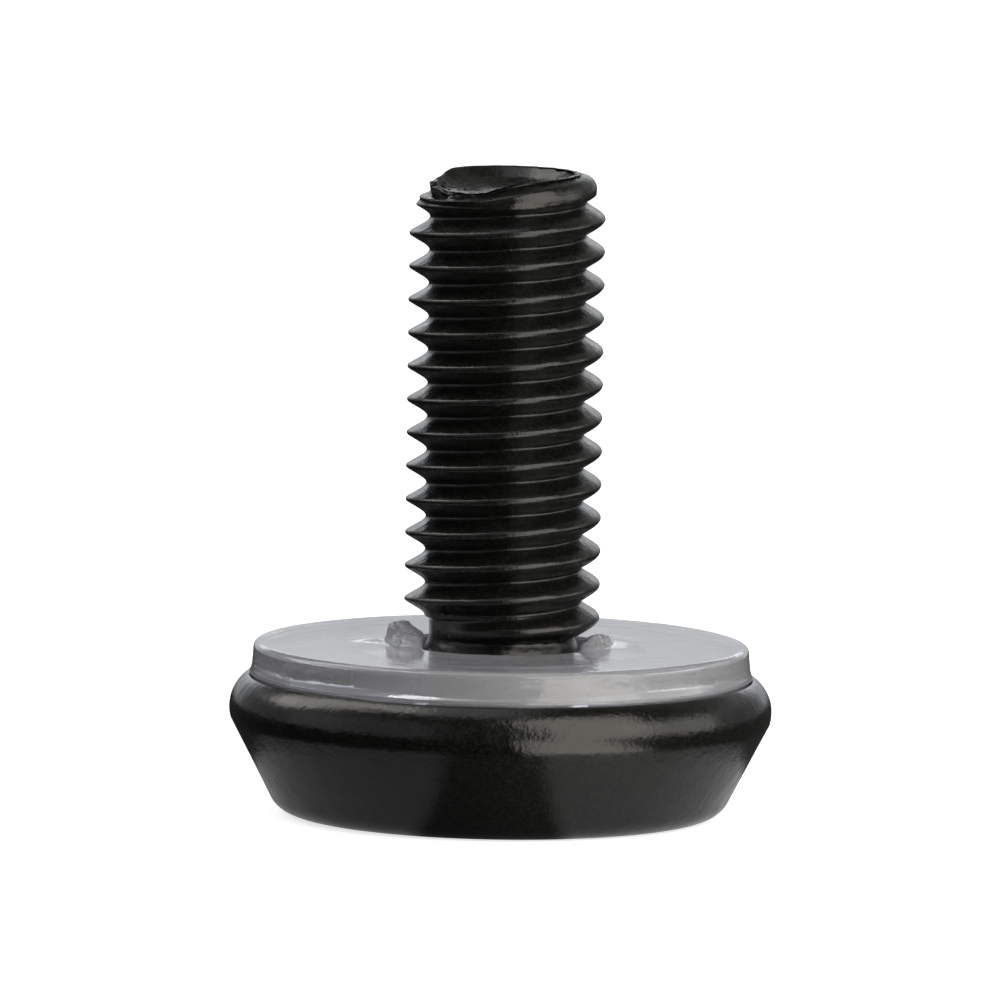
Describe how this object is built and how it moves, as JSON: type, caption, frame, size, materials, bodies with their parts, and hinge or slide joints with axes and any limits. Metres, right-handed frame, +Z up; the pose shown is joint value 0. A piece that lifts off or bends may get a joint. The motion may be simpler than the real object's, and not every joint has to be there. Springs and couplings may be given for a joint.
{
  "type": "furniture leveling foot",
  "caption": "Swivel leveling foot: a threaded steel stud standing in a round flared steel base closed by a clear plastic disc.",
  "frame": {"origin": "on the floor under the middle of the base, with the foot standing level", "axes": "+Z up along the stud, +X and +Y level; the swivel tips about Y"},
  "size_m": [0.0258, 0.0258, 0.0306],
  "materials": {
    "black_steel": "glossy black coat, slightly orange-peeled",
    "clear_plastic": "clear soft plastic, slightly hazy",
    "black_nylon": "moulded black nylon",
    "bright_steel": "turned, bright and greased"
  },
  "bodies": {
    "foot": {"base_shell": "black_steel", "socket_pad": "black_nylon", "retainer_disc": "clear_plastic"},
    "seat": {"swivel_seat": "bright_steel"},
    "stud": {"threaded_stud": "black_steel"}
  },
  "joints": [
    {"name": "tilt", "type": "hinge", "parent": "foot", "child": "seat", "pos_m": [0, 0, 0.00766], "axis": [0, 1, 0], "range_deg": [-4, 4]},
    {"name": "swivel", "type": "hinge", "parent": "seat", "child": "stud", "pos_m": [0, 0, 0.00766], "axis": [0, 0, 1], "continuous": true}
  ]
}
